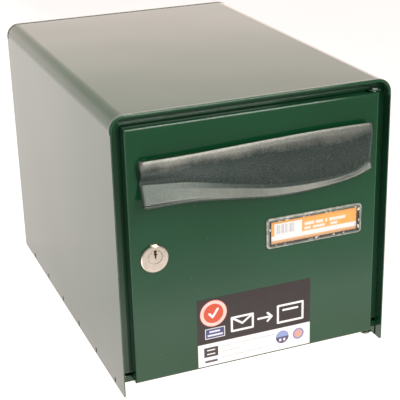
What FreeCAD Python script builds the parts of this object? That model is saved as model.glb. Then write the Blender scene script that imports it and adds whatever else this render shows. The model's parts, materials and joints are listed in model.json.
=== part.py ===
"""Steel letter box with a front and a rear door, a posting flap and two cam locks.

Millimetres. +X is the viewer's right when facing the front door, +Y runs from the
front door to the rear door, and +Z is up. The parts are drawn with y = 0 on the
front edge of the case and are moved when they are written, so that the origin is
the bottom centre of the whole object's box.
"""
import FreeCAD
import Part
import math
import os

V = FreeCAD.Vector

# ---- case ------------------------------------------------------------------------
WIDTH = 290.0                # over the rolled edges
HEIGHT = 290.0               # from the wall's lower edge to the top
DEPTH = 410.0                # from the front edge to the rear edge
SHEET = 1.0                  # steel sheet
CORNER_R = 14.0              # outside radius of the two top bends
BEAD_PROUD = 0.4             # how far the rolled edge stands out of the sheet
BEAD_THICK = 3.0             # thickness of the rolled edge
BEAD_DEEP = 4.5              # its size along Y
BEAD_END_Z = 273.0           # where it ends on the side walls
HEM_DEEP = 10.0              # how far its inner layer runs back
RELIEF_WIDE = 0.8            # relief slit behind the roll, in the top bends
WALL_CORNER_R = 3.0          # lower corners of the side walls

SLOT_COUNT = 6               # slots low in each side wall
SLOT_FIRST_Y = 30.5
SLOT_LAST_Y = 358.5
SLOT_WIDE = 3.4
SLOT_LOW_Z = 2.0
SLOT_HIGH_Z = 7.5

# ---- floor -----------------------------------------------------------------------
FLOOR_TOP_Z = 17.5
FLOOR_LIP_LOW_Z = 10.5
FLOOR_FLANGE_LOW_Z = 1.0
FLOOR_GAP = 0.1              # between the floor's flanges and the walls
TAB_PLAY = 0.3               # round each tab in its wall slot
TAB_RECESS = 0.7             # from the wall's outer face to the end of each tab
BOLT_SPACING_X = 180.0
BOLT_SPACING_Y = 260.0
BOLT_HOLE_R = 3.5

# ---- door frames -----------------------------------------------------------------
FRAME_Y = 12.0               # front face of the flange that the door closes on
FRAME_GAP = 0.1              # between the frame and the shell
FRAME_OPEN_HALF = 122.0      # half width of the clear opening
FRAME_OPEN_TOP_Z = 267.0
FRAME_LOW_Z = 21.0           # where the jambs end, above the floor
FRAME_WALL_DEEP = 15.0       # flange spot-welded to the walls
LEDGE_HALF = 133.0           # rain ledge over the door
LEDGE_TOP_Z = 280.2
LEDGE_LOW_Z = 277.9
LEDGE_Y = 10.8

# ---- doors -----------------------------------------------------------------------
DOOR_HALF = 132.0
DOOR_LOW_Z = 13.0
DOOR_HIGH_Z = 277.0
DOOR_DEEP = 10.6
DOOR_BEND_R = 2.5

HINGE_X = 128.5
HINGE_Y = 5.0
HINGE_PIN_R = 2.0
HINGE_PLAY = 0.05            # radial running clearance
LUG_HALF = 6.0
LUG_FRONT_Y = 1.6
LUG_THICK = 1.2
UPPER_LUG_Z = 278.3
LOWER_LUG_Z = 10.5
PIN_HEAD_R = 3.4
PIN_HEAD_HIGH = 1.4
PIN_REACH = 8.0              # how far a pin runs into the door

# ---- posting slot, flap and guard ------------------------------------------------
POST_SLOT_HALF = 116.0
POST_SLOT_LOW_Z = 206.0
POST_SLOT_HIGH_Z = 233.0
POST_SLOT_R = 3.0

FLAP_HALF = 120.0
FLAP_AXIS_Y = -5.0
FLAP_AXIS_Z = 242.0
FLAP_FRONT = 9.6             # reach of the flap's front face below its top edge
FLAP_WALL = 1.7
CHEEK_THICK = 2.5
CHEEK_EYE_R = 4.2
ROD_R = 1.4
ROD_PLAY = 0.05
EYE_R = 2.3
BRACKET_X = 112.0
BRACKET_THICK = 2.0
BRACKET_FOOT_LONG = 9.5
BRACKET_FOOT_LOW = 7.0       # the foot's two edges, below the rod's axis
BRACKET_FOOT_HIGH = 0.8
BRACKET_FOOT_THICK = 1.2
RIVET_R = 1.5
RIVET_HEAD_R = 2.4
RIVET_HEAD_HIGH = 0.8

# The flap's wave. At each place along the width: the top edge's height, then height and
# reach of the crease, of the lip's shoulder, of its face's lower end and of its rim.
# Reach is measured out of the door.
FLAP_STATIONS = (
    # x, top, crease, shoulder, lower, rim
    (-120.0, 246.4, (222.4, 3.6), (218.5, 5.8), (206.0, 12.6), (202.2, 15.0)),
    (-75.0, 246.6, (219.2, 4.6), (213.6, 7.2), (205.2, 12.6), (201.6, 14.4)),
    (-30.0, 248.0, (210.5, 5.6), (205.7, 7.8), (199.8, 12.2), (196.6, 13.4)),
    (15.0, 249.4, (203.0, 6.6), (198.7, 8.4), (194.0, 11.8), (191.4, 12.6)),
    (60.0, 250.4, (200.4, 7.2), (197.1, 8.8), (193.6, 11.4), (191.8, 11.8)),
    (100.0, 250.4, (203.4, 7.4), (200.8, 9.0), (198.2, 10.9), (196.8, 11.2)),
    (120.0, 250.0, (212.4, 7.2), (209.4, 9.0), (204.5, 10.6), (203.2, 10.8)),
)

SPRING_WIRE_R = 0.3
SPRING_MEAN_R = 2.15
SPRING_TURNS = 9
SPRING_PITCH = 0.9
SPRING_STEP = 25.0           # degrees over which one turn crosses to the next
SPRING_X = -98.0
SPRING_LEG = 4.8             # from the top of the coil to the door

GUARD_HALF = 110.0
GUARD_TOP_Z = 204.0
GUARD_WELD_HIGH = 10.0
GUARD_REACH_Y = 45.0
GUARD_DROP = 20.0

# ---- name window and label -------------------------------------------------------
HOLDER_X = 61.7
HOLDER_Z = 148.3
HOLDER_WIDE = 105.0
HOLDER_HIGH = 31.4
HOLDER_THICK = 2.6
HOLDER_R = 3.5
CARD_WIDE = 95.6
CARD_HIGH = 24.0
CARD_THICK = 0.4
CARD_PLAY = 0.4
PEG_R = 1.5
PEG_SPACING = 100.0
PEG_LONG = 3.4
PUSH_NUT_R = 4.0
PUSH_NUT_THICK = 0.5

LABEL_X = -3.8
LABEL_LOW_Z = 15.6
LABEL_WIDE = 124.5
LABEL_HIGH = 75.0
LABEL_THICK = 0.15

# ---- lock ------------------------------------------------------------------------
LOCK_X = -107.9
LOCK_Z = 145.2
LOCK_FACE_R = 13.9
LOCK_FACE_THICK = 2.8
LOCK_FACE_BEVEL = 0.9
LOCK_BARREL_R = 10.8
LOCK_BARREL_FLAT = 9.0       # half distance over the barrel's two flats
LOCK_BARREL_END_Y = 14.0
LOCK_HOLE_PLAY = 0.2
NIB_WIDE = 6.5
NIB_HIGH = 0.7
PLUG_OFFSET_X = 0.5
PLUG_OFFSET_Z = 2.4
PLUG_R = 7.0
PLUG_PLAY = 0.05
PLUG_RECESS = 0.15
KEYWAY_WIDE = 1.8
KEYWAY_HIGH = 8.6
KEYWAY_CENTRE_Z = 2.3        # above the plug's axis
WAFER_COUNT = 5
WAFER_PITCH = 2.1
WAFER_FIRST_Y = 1.2
WAFER_THICK = 0.7
WAFER_SLOT = 1.0
WAFER_WIDE = 5.0
WAFER_HIGH = 12.4
CAM_Y = 14.5
CAM_THICK = 2.0
CAM_WIDE = 11.0
CAM_LONG = 22.0
TANG = 6.0                   # square end of the plug
CAM_SCREW_R = 2.0
CAM_SCREW_HEAD_R = 4.2
CAM_SCREW_HEAD_HIGH = 2.4
CAM_SCREW_LONG = 6.0
CLIP_WIDE = 30.0
CLIP_HIGH = 27.0
CLIP_THICK = 1.2
CLIP_GROOVE = 1.0            # how deep the clip sits in the barrel's flats

# ---- worked out ------------------------------------------------------------------
WALL_HALF = WIDTH / 2 - BEAD_PROUD
WALL_TOP = HEIGHT - BEAD_PROUD
FLAP_REACH = max(station[-1][1] for station in FLAP_STATIONS)
MIDDLE_Y = (DEPTH + LOCK_FACE_THICK - FLAP_REACH) / 2
OVERCUT = 1.0


def box(x0, x1, y0, y1, z0, z1):
    return Part.makeBox(x1 - x0, y1 - y0, z1 - z0, V(x0, y0, z0))


def rod_y(x, z, radius, y0, y1):
    return Part.makeCylinder(radius, y1 - y0, V(x, y0, z), V(0, 1, 0))


def rod_z(x, y, radius, z0, z1):
    return Part.makeCylinder(radius, z1 - z0, V(x, y, z0), V(0, 0, 1))


def rod_x(y, z, radius, x0, x1):
    return Part.makeCylinder(radius, x1 - x0, V(x0, y, z), V(1, 0, 0))


def edges_where(shape, test):
    """The edges whose middle and ends all pass a test of one point."""
    found = []
    for edge in shape.Edges:
        middle = edge.valueAt((edge.FirstParameter + edge.LastParameter) / 2)
        points = [vertex.Point for vertex in edge.Vertexes] + [middle]
        if all(test(point) for point in points):
            found.append(edge)
    return found


def near(value, target):
    return abs(value - target) < 0.01


def turned_about_y(shape, x, z, degrees):
    turned = shape.copy()
    turned.rotate(V(x, 0, z), V(0, 1, 0), degrees)
    return turned


def to_rear(shape):
    """Turns a front piece half way round to stand at the rear door."""
    turned = shape.copy()
    turned.rotate(V(0, DEPTH / 2, 0), V(0, 0, 1), 180)
    return turned


def rounded_plate(x, z, wide, high, radius, y0, y1):
    """A plate in the XZ plane with round corners."""
    plate = box(x - wide / 2, x + wide / 2, y0, y1, z - high / 2, z + high / 2)
    corners = [edge for edge in plate.Edges if near(edge.BoundBox.YLength, y1 - y0)]
    return plate.makeFillet(radius, corners)


# ---- case ------------------------------------------------------------------------
def arch(inset, low_z, y0, y1):
    """A block with round top corners, lying inside the case's outer surface by inset."""
    half = WALL_HALF - inset
    top = WALL_TOP - inset
    block = box(-half, half, y0, y1, low_z, top)
    bends = edges_where(block, lambda p: near(abs(p.x), half) and near(p.z, top))
    return block.makeFillet(CORNER_R - inset, bends)


def front_bead():
    """The rolled front edge: a thick round-nosed band over the top and both bends."""
    band = arch(-BEAD_PROUD, BEAD_END_Z, 0, BEAD_DEEP)
    hollow = arch(BEAD_THICK - BEAD_PROUD, BEAD_END_Z - OVERCUT, -OVERCUT, BEAD_DEEP + OVERCUT)
    band = band.cut(hollow)
    nose = edges_where(band, lambda p: near(p.y, 0))
    nose = [edge for edge in nose if edge.Length > 2 * BEAD_THICK or edge.Curve.TypeId == "Part::GeomCircle"]
    band = band.makeFillet(BEAD_THICK / 2 - 0.15, nose)
    layer = arch(BEAD_THICK - BEAD_PROUD - SHEET, BEAD_END_Z, BEAD_DEEP - OVERCUT, HEM_DEEP)
    room = arch(BEAD_THICK - BEAD_PROUD, BEAD_END_Z - OVERCUT, 0, HEM_DEEP + OVERCUT)
    return band.fuse(layer.cut(room))


def wall_slot_places():
    step = (SLOT_LAST_Y - SLOT_FIRST_Y) / (SLOT_COUNT - 1)
    return [SLOT_FIRST_Y + step * index for index in range(SLOT_COUNT)]


def relief_slit():
    """The slit behind the rolled edge at the left top bend."""
    low = HEIGHT - 0.75 * CORNER_R
    high = HEIGHT - 0.25 * CORNER_R
    left = -WIDTH / 2 - OVERCUT
    right = -WIDTH / 2 + 0.4 * CORNER_R
    return box(left, right, BEAD_DEEP, BEAD_DEEP + RELIEF_WIDE, low, high)


def mirrored_x(shape):
    return shape.mirror(V(0, 0, 0), V(1, 0, 0))


def shell():
    body = arch(0, 0, BEAD_DEEP - OVERCUT, DEPTH - BEAD_DEEP + OVERCUT)
    body = body.fuse(box(-WALL_HALF, WALL_HALF, 0, DEPTH, 0, BEAD_END_Z + OVERCUT))
    inside = arch(SHEET, -OVERCUT, -OVERCUT, DEPTH + OVERCUT)
    body = body.cut(inside)
    low_corners = edges_where(body, lambda p: near(p.z, 0) and (near(p.y, 0) or near(p.y, DEPTH)))
    body = body.makeFillet(WALL_CORNER_R, low_corners)
    slits = [relief_slit(), mirrored_x(relief_slit())]
    slits += [to_rear(slit) for slit in slits]
    for slit in slits:
        body = body.cut(slit)
    for y in wall_slot_places():
        slot = box(-WIDTH, WIDTH, y - SLOT_WIDE / 2, y + SLOT_WIDE / 2, SLOT_LOW_Z, SLOT_HIGH_Z)
        body = body.cut(slot)
    bead = front_bead()
    return body.fuse([bead, to_rear(bead)]).removeSplitter()


def floor_tabs(half):
    tabs = []
    for y in wall_slot_places():
        low_y = y - SLOT_WIDE / 2 + TAB_PLAY
        high_y = y + SLOT_WIDE / 2 - TAB_PLAY
        low_z = SLOT_LOW_Z + TAB_PLAY
        high_z = low_z + SHEET
        tabs.append(box(half - SHEET, WALL_HALF - TAB_RECESS, low_y, high_y, low_z, high_z))
        tabs.append(box(TAB_RECESS - WALL_HALF, SHEET - half, low_y, high_y, low_z, high_z))
    return tabs


def lower_lug():
    lug = box(HINGE_X - LUG_HALF, HINGE_X + LUG_HALF, LUG_FRONT_Y, FRAME_Y + SHEET,
              LOWER_LUG_Z, LOWER_LUG_Z + LUG_THICK)
    corners = edges_where(lug, lambda p: near(p.y, LUG_FRONT_Y))
    corners = [edge for edge in corners if edge.BoundBox.ZLength > LUG_THICK / 2]
    return lug.makeFillet(LUG_HALF / 2, corners)


def upper_lug():
    return lower_lug().translated(V(0, 0, UPPER_LUG_Z - LOWER_LUG_Z))


def floor_panel():
    half = WALL_HALF - SHEET - FLOOR_GAP
    front = FRAME_Y
    rear = DEPTH - FRAME_Y
    outer = box(-half, half, front, rear, FLOOR_FLANGE_LOW_Z, FLOOR_TOP_Z)
    bends = edges_where(outer, lambda p: near(p.z, FLOOR_TOP_Z))
    outer = outer.makeFillet(1.5 * SHEET, bends)
    room = box(SHEET - half, half - SHEET, front + SHEET, rear - SHEET, 0, FLOOR_TOP_Z - SHEET)
    panel = outer.cut(room)
    under_lips = box(SHEET - half, half - SHEET, 0, DEPTH, 0, FLOOR_LIP_LOW_Z)
    panel = panel.cut(under_lips)
    for x in (-BOLT_SPACING_X / 2, BOLT_SPACING_X / 2):
        for y in (-BOLT_SPACING_Y / 2, BOLT_SPACING_Y / 2):
            panel = panel.cut(rod_z(x, DEPTH / 2 + y, BOLT_HOLE_R, 0, FLOOR_TOP_Z + OVERCUT))
    lug = lower_lug()
    panel = panel.fuse(floor_tabs(half) + [lug, to_rear(lug)])
    hole = rod_z(HINGE_X, HINGE_Y, HINGE_PIN_R, 0, FLOOR_LIP_LOW_Z + 2 * LUG_THICK)
    return panel.cut([hole, to_rear(hole)]).removeSplitter()


def front_frame():
    inset = SHEET + FRAME_GAP
    back = FRAME_Y + FRAME_WALL_DEEP
    body = arch(inset, FRAME_LOW_Z, FRAME_Y, back)
    room = arch(inset + SHEET, FRAME_LOW_Z - OVERCUT, FRAME_Y + SHEET, back + OVERCUT)
    body = body.cut(room)
    opening = box(-FRAME_OPEN_HALF, FRAME_OPEN_HALF, 0, FRAME_Y + 2 * SHEET, 0, FRAME_OPEN_TOP_Z)
    corners = edges_where(opening, lambda p: near(abs(p.x), FRAME_OPEN_HALF) and near(p.z, FRAME_OPEN_TOP_Z))
    body = body.cut(opening.makeFillet(CORNER_R / 2, corners))
    ledge = box(-LEDGE_HALF, LEDGE_HALF, LEDGE_Y, FRAME_Y, LEDGE_LOW_Z, LEDGE_TOP_Z)
    body = body.fuse([ledge, upper_lug()])
    hole = rod_z(HINGE_X, HINGE_Y, HINGE_PIN_R, UPPER_LUG_Z - OVERCUT, UPPER_LUG_Z + 2 * LUG_THICK)
    return body.cut(hole).removeSplitter()


def upper_hinge_pin():
    shank = rod_z(HINGE_X, HINGE_Y, HINGE_PIN_R, DOOR_HIGH_Z - PIN_REACH, UPPER_LUG_Z + LUG_THICK)
    head = rod_z(HINGE_X, HINGE_Y, PIN_HEAD_R, UPPER_LUG_Z + LUG_THICK,
                 UPPER_LUG_Z + LUG_THICK + PIN_HEAD_HIGH)
    pin = shank.fuse(head).removeSplitter()
    tip = edges_where(pin, lambda p: near(p.z, DOOR_HIGH_Z - PIN_REACH))
    return pin.makeChamfer(HINGE_PIN_R / 3, tip)


def lower_hinge_pin():
    shank = rod_z(HINGE_X, HINGE_Y, HINGE_PIN_R, LOWER_LUG_Z, DOOR_LOW_Z + PIN_REACH)
    head = rod_z(HINGE_X, HINGE_Y, PIN_HEAD_R, LOWER_LUG_Z - PIN_HEAD_HIGH, LOWER_LUG_Z)
    pin = shank.fuse(head).removeSplitter()
    tip = edges_where(pin, lambda p: near(p.z, DOOR_LOW_Z + PIN_REACH))
    return pin.makeChamfer(HINGE_PIN_R / 3, tip)


# ---- doors -----------------------------------------------------------------------
def door_tray():
    """A folded tray with its hinge holes and its lock hole."""
    tray = box(-DOOR_HALF, DOOR_HALF, 0, DOOR_DEEP, DOOR_LOW_Z, DOOR_HIGH_Z)
    tray = tray.makeFillet(DOOR_BEND_R, edges_where(tray, lambda p: near(p.y, 0)))
    room = box(SHEET - DOOR_HALF, DOOR_HALF - SHEET, SHEET, DOOR_DEEP + OVERCUT,
               DOOR_LOW_Z + SHEET, DOOR_HIGH_Z - SHEET)
    room = room.makeFillet(DOOR_BEND_R - SHEET, edges_where(room, lambda p: near(p.y, SHEET)))
    tray = tray.cut(room)
    hinge = rod_z(HINGE_X, HINGE_Y, HINGE_PIN_R + HINGE_PLAY, 0, HEIGHT)
    tray = tray.cut(hinge)
    return tray.cut(lock_barrel(LOCK_HOLE_PLAY, -OVERCUT, 3 * SHEET))


def front_door_panel():
    panel = door_tray()
    post_slot = rounded_plate(0, (POST_SLOT_LOW_Z + POST_SLOT_HIGH_Z) / 2, 2 * POST_SLOT_HALF,
                              POST_SLOT_HIGH_Z - POST_SLOT_LOW_Z, POST_SLOT_R, -OVERCUT, 2 * SHEET)
    panel = panel.cut(post_slot)
    for x in peg_places():
        panel = panel.cut(rod_y(x, HOLDER_Z, PEG_R + 0.1, -OVERCUT, 2 * SHEET))
    for place in bracket_places():
        x, z = rivet_place(place)
        panel = panel.cut(rod_y(x, z, RIVET_R, -OVERCUT, 2 * SHEET))
    return panel


def letter_guard():
    """A plate welded under the slot that slopes down into the box."""
    top = GUARD_TOP_Z
    knee = top - GUARD_WELD_HIGH
    points = [V(0, SHEET, top), V(0, SHEET, knee), V(0, GUARD_REACH_Y, knee - GUARD_DROP),
              V(0, GUARD_REACH_Y, knee - GUARD_DROP + SHEET), V(0, 2 * SHEET, knee + SHEET),
              V(0, 2 * SHEET, top), V(0, SHEET, top)]
    face = Part.Face(Part.makePolygon(points))
    return face.extrude(V(2 * GUARD_HALF, 0, 0)).translated(V(-GUARD_HALF, 0, 0))


# ---- flap ------------------------------------------------------------------------
def bracket_places():
    return (-BRACKET_X, BRACKET_X)


def rivet_place(x):
    """The centre of a bracket's rivet, in the middle of its foot."""
    inwards = -math.copysign(1, x)
    rivet_x = x + inwards * (BRACKET_THICK / 2 + BRACKET_FOOT_LONG) / 2
    return rivet_x, FLAP_AXIS_Z - (BRACKET_FOOT_LOW + BRACKET_FOOT_HIGH) / 2


def flap_outline(station):
    """The flap's outer section from its top edge to the lip's rim."""
    top, crease, shoulder, lower, rim = station[1:]
    crease_z, crease_reach = crease
    front_z = top - 4.0
    points = [(-FLAP_FRONT + 3.4, top - 0.4), (-FLAP_FRONT + 2.2, top), (-FLAP_FRONT + 0.6, top - 1.4)]
    points.append((-FLAP_FRONT, front_z))
    for share, pull in ((0.2, 0.18), (0.45, 0.6), (0.72, 0.9)):
        reach = FLAP_FRONT + pull * (crease_reach - FLAP_FRONT)
        points.append((-reach, front_z + share * (crease_z - front_z)))
    points += [(-reach, z) for z, reach in (crease, shoulder, lower, rim)]
    return points


def flap_section(station):
    """A closed section: the outer line, the rounded rim and the inner line."""
    x = station[0]
    outer = flap_outline(station)
    rim_y, rim_z = outer[-1]
    under = [(rim_y + 0.6, rim_z - 0.9), (rim_y + 1.6, rim_z - 0.8)]
    inner = []
    for index in range(len(outer) - 1, -1, -1):
        before = outer[max(index - 1, 0)]
        after = outer[min(index + 1, len(outer) - 1)]
        along_y = after[0] - before[0]
        along_z = after[1] - before[1]
        length = math.hypot(along_y, along_z)
        inner.append((outer[index][0] - along_z / length * FLAP_WALL,
                      outer[index][1] + along_y / length * FLAP_WALL))
    inner[0] = (rim_y + 1.9, rim_z + 0.5)
    inner[-1] = (outer[0][0], outer[0][1] - FLAP_WALL)
    corners = [V(x, y, z) for y, z in outer + under + inner]
    return Part.makePolygon(corners + [corners[0]])


def cheek(station, x0):
    """An end plate that fills the section back to the door and carries the rod's hole."""
    outer = flap_outline(station)
    rim_y, rim_z = outer[-1]
    corners = [V(x0, y, z) for y, z in outer]
    corners.append(V(x0, rim_y + 0.6, rim_z - 0.9))
    corners.append(V(x0, rim_y + 2.4, rim_z - 0.6))
    corners.append(V(x0, -0.5, FLAP_AXIS_Z - 22.0))
    corners.append(V(x0, -0.5, FLAP_AXIS_Z - 1.5))
    corners.append(V(x0, FLAP_AXIS_Y, FLAP_AXIS_Z + 1.0))
    blade = Part.Face(Part.makePolygon(corners + [corners[0]])).extrude(V(CHEEK_THICK, 0, 0))
    eye = rod_x(FLAP_AXIS_Y, FLAP_AXIS_Z, CHEEK_EYE_R, x0, x0 + CHEEK_THICK)
    return blade.fuse(eye)


def flap():
    skin = Part.makeLoft([flap_section(station) for station in FLAP_STATIONS], True, False)
    left = cheek(FLAP_STATIONS[0], -FLAP_HALF)
    right = cheek(FLAP_STATIONS[-1], FLAP_HALF - CHEEK_THICK)
    body = skin.fuse([left, right])
    bore = rod_x(FLAP_AXIS_Y, FLAP_AXIS_Z, ROD_R + ROD_PLAY, -FLAP_HALF - OVERCUT, FLAP_HALF + OVERCUT)
    return body.cut(bore).removeSplitter()


def flap_bracket(x):
    """An eye round the rod, a web to the door and a foot that is riveted to it."""
    half = BRACKET_THICK / 2
    low = FLAP_AXIS_Z - BRACKET_FOOT_LOW
    high = FLAP_AXIS_Z - BRACKET_FOOT_HIGH
    eye = rod_x(FLAP_AXIS_Y, FLAP_AXIS_Z, EYE_R, x - half, x + half)
    web = box(x - half, x + half, FLAP_AXIS_Y, 0, FLAP_AXIS_Z - EYE_R, high)
    tip = x - math.copysign(BRACKET_FOOT_LONG, x)
    root = x + math.copysign(half, x)
    foot = box(min(tip, root), max(tip, root), -BRACKET_FOOT_THICK, 0, low, high)
    body = eye.fuse([web, foot])
    body = body.cut(rod_x(FLAP_AXIS_Y, FLAP_AXIS_Z, ROD_R, x - half - OVERCUT, x + half + OVERCUT))
    rivet_x, rivet_z = rivet_place(x)
    body = body.cut(rod_y(rivet_x, rivet_z, RIVET_R, -2 * BRACKET_FOOT_THICK, OVERCUT))
    return body.removeSplitter()


def bracket_rivets():
    rivets = []
    for place in bracket_places():
        x, z = rivet_place(place)
        shank = rod_y(x, z, RIVET_R, -BRACKET_FOOT_THICK, SHEET)
        front = rod_y(x, z, RIVET_HEAD_R, -BRACKET_FOOT_THICK - RIVET_HEAD_HIGH, -BRACKET_FOOT_THICK)
        rear = rod_y(x, z, RIVET_HEAD_R, SHEET, SHEET + RIVET_HEAD_HIGH)
        rivets.append(shank.fuse([front, rear]).removeSplitter())
    return Part.makeCompound(rivets)


def flap_rod():
    return rod_x(FLAP_AXIS_Y, FLAP_AXIS_Z, ROD_R, -FLAP_HALF + 0.3, FLAP_HALF - 0.3)


def flap_spring():
    """A close coil round the rod: flat turns, each joined to the next by a short step, and a leg."""
    turn = Part.makeTorus(SPRING_MEAN_R, SPRING_WIRE_R, V(0, 0, 0), V(1, 0, 0), 0, 360, 360 - SPRING_STEP)
    ends = [edge.Curve.Center for edge in turn.Edges if near(edge.Length, 2 * math.pi * SPRING_WIRE_R)]
    low, top = sorted(ends, key=lambda point: point.z)
    pitch = V(SPRING_PITCH, 0, 0)
    pieces = []
    for index in range(SPRING_TURNS):
        turn_place = pitch * index
        pieces.append(turn.translated(turn_place))
        if index + 1 < SPRING_TURNS:
            step_start = top + turn_place
            step_end = low + turn_place + pitch
            step = step_end - step_start
            pieces.append(Part.makeCylinder(SPRING_WIRE_R, step.Length, step_start, step))
            pieces += [Part.makeSphere(SPRING_WIRE_R, step_start), Part.makeSphere(SPRING_WIRE_R, step_end)]
    leg_start = top + pitch * (SPRING_TURNS - 1)
    pieces.append(Part.makeCylinder(SPRING_WIRE_R, SPRING_LEG, leg_start, V(0, 1, 0)))
    coil = pieces[0].fuse(pieces[1:]).removeSplitter()
    return coil.translated(V(SPRING_X, FLAP_AXIS_Y, FLAP_AXIS_Z))


# ---- name window and label -------------------------------------------------------
def peg_places():
    return (HOLDER_X - PEG_SPACING / 2, HOLDER_X + PEG_SPACING / 2)


def name_holder():
    """A clear cover with a bevelled rim, a pocket for the card and two pegs."""
    cover = rounded_plate(HOLDER_X, HOLDER_Z, HOLDER_WIDE, HOLDER_HIGH, HOLDER_R, -HOLDER_THICK, 0)
    rim = edges_where(cover, lambda p: near(p.y, -HOLDER_THICK))
    cover = cover.makeChamfer(HOLDER_THICK * 0.4, rim)
    pocket = box(HOLDER_X - CARD_WIDE / 2 - CARD_PLAY, HOLDER_X + CARD_WIDE / 2 + CARD_PLAY,
                 -CARD_THICK - CARD_PLAY, OVERCUT,
                 HOLDER_Z - CARD_HIGH / 2 - CARD_PLAY, HOLDER_Z + CARD_HIGH / 2 + CARD_PLAY)
    cover = cover.cut(pocket)
    pegs = [rod_y(x, HOLDER_Z, PEG_R, -HOLDER_THICK / 2, PEG_LONG) for x in peg_places()]
    return cover.fuse(pegs).removeSplitter()


def name_card():
    return box(HOLDER_X - CARD_WIDE / 2, HOLDER_X + CARD_WIDE / 2, -CARD_THICK, 0,
               HOLDER_Z - CARD_HIGH / 2, HOLDER_Z + CARD_HIGH / 2)


def holder_push_nuts():
    nuts = []
    for x in peg_places():
        disc = rod_y(x, HOLDER_Z, PUSH_NUT_R, SHEET, SHEET + PUSH_NUT_THICK)
        nuts.append(disc.cut(rod_y(x, HOLDER_Z, PEG_R, 0, PEG_LONG)))
    return Part.makeCompound(nuts)


def front_label():
    return box(LABEL_X - LABEL_WIDE / 2, LABEL_X + LABEL_WIDE / 2, -LABEL_THICK, 0,
               LABEL_LOW_Z, LABEL_LOW_Z + LABEL_HIGH)


# ---- lock ------------------------------------------------------------------------
def lock_barrel(play, y0, y1):
    """The lock's barrel with its two flats, larger all round by play."""
    barrel = rod_y(LOCK_X, LOCK_Z, LOCK_BARREL_R + play, y0, y1)
    flat = LOCK_BARREL_FLAT + play
    return barrel.common(box(LOCK_X - flat, LOCK_X + flat, y0, y1, LOCK_Z - WIDTH, LOCK_Z + WIDTH))


def plug_axis():
    return LOCK_X + PLUG_OFFSET_X, LOCK_Z + PLUG_OFFSET_Z


def lock_body():
    face = rod_y(LOCK_X, LOCK_Z, LOCK_FACE_R, -LOCK_FACE_THICK, 0)
    rim = edges_where(face, lambda p: near(p.y, -LOCK_FACE_THICK))
    face = face.makeChamfer(LOCK_FACE_BEVEL, rim)
    nib = box(LOCK_X - NIB_WIDE / 2, LOCK_X + NIB_WIDE / 2, -SHEET, 0,
              LOCK_Z, LOCK_Z + LOCK_FACE_R + NIB_HIGH)
    barrel = lock_barrel(0, -OVERCUT, LOCK_BARREL_END_Y)
    body = face.fuse([nib, barrel])
    x, z = plug_axis()
    bore = rod_y(x, z, PLUG_R + PLUG_PLAY, -LOCK_FACE_THICK - OVERCUT, LOCK_BARREL_END_Y + OVERCUT)
    body = body.cut(bore)
    for side in (-1, 1):
        edge = LOCK_X + side * LOCK_BARREL_FLAT
        groove = box(min(edge, edge - side * CLIP_GROOVE), max(edge, edge - side * CLIP_GROOVE),
                     SHEET, SHEET + CLIP_THICK, LOCK_Z - LOCK_BARREL_R, LOCK_Z + LOCK_BARREL_R)
        body = body.cut(groove)
    return body.removeSplitter()


def lock_clip():
    """A fork pushed up from below into the barrel's grooves."""
    plate = rounded_plate(LOCK_X, LOCK_Z - 2, CLIP_WIDE, CLIP_HIGH, 3.0, SHEET, SHEET + CLIP_THICK)
    gap = LOCK_BARREL_FLAT - CLIP_GROOVE
    top = LOCK_Z + CLIP_HIGH
    throat = box(LOCK_X - gap, LOCK_X + gap, 0, 2 * SHEET + CLIP_THICK, LOCK_Z, top)
    seat = rod_y(LOCK_X, LOCK_Z, LOCK_BARREL_R, 0, 2 * SHEET + CLIP_THICK)
    seat = seat.common(box(LOCK_X - gap, LOCK_X + gap, 0, 2 * SHEET + CLIP_THICK, 0, LOCK_Z + OVERCUT))
    return plate.cut(throat).cut(seat)


def wafer_places():
    return [WAFER_FIRST_Y + WAFER_PITCH * index for index in range(WAFER_COUNT)]


def lock_plug():
    x, z = plug_axis()
    body = rod_y(x, z, PLUG_R, -LOCK_FACE_THICK + PLUG_RECESS, LOCK_BARREL_END_Y + 0.3)
    tang = box(x - TANG / 2, x + TANG / 2, LOCK_BARREL_END_Y, CAM_Y + CAM_THICK - 0.2,
               z - TANG / 2, z + TANG / 2)
    body = body.fuse(tang)
    low = z + KEYWAY_CENTRE_Z - KEYWAY_HIGH / 2
    high = z + KEYWAY_CENTRE_Z + KEYWAY_HIGH / 2
    keyway = box(x - KEYWAY_WIDE / 2, x + KEYWAY_WIDE / 2, -LOCK_FACE_THICK, 0.8 * LOCK_BARREL_END_Y,
                 low, high)
    ward = box(x - KEYWAY_WIDE, x, -LOCK_FACE_THICK, 0.8 * LOCK_BARREL_END_Y, high - 3.2, high - 2.2)
    other_ward = box(x, x + KEYWAY_WIDE, -LOCK_FACE_THICK, 0.8 * LOCK_BARREL_END_Y, high - 4.6, high - 3.6)
    body = body.cut([keyway, ward, other_ward])
    for y in wafer_places():
        body = body.cut(rounded_plate(x, z, WAFER_WIDE + 0.3, WAFER_HIGH + 0.3, 0.4, y, y + WAFER_SLOT))
    thread = rod_y(x, z, CAM_SCREW_R, CAM_Y + CAM_THICK - CAM_SCREW_LONG, CAM_Y + CAM_THICK + OVERCUT)
    return body.cut(thread).removeSplitter()


def lock_wafers():
    x, z = plug_axis()
    gap = (WAFER_SLOT - WAFER_THICK) / 2
    wafers = []
    for y in wafer_places():
        plate = rounded_plate(x, z, WAFER_WIDE, WAFER_HIGH, 0.3, y + gap, y + gap + WAFER_THICK)
        window = box(x - 1.5, x + 1.5, y, y + WAFER_SLOT, z - 2.6, z + 5.4)
        wafers.append(plate.cut(window))
    return Part.makeCompound(wafers)


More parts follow.
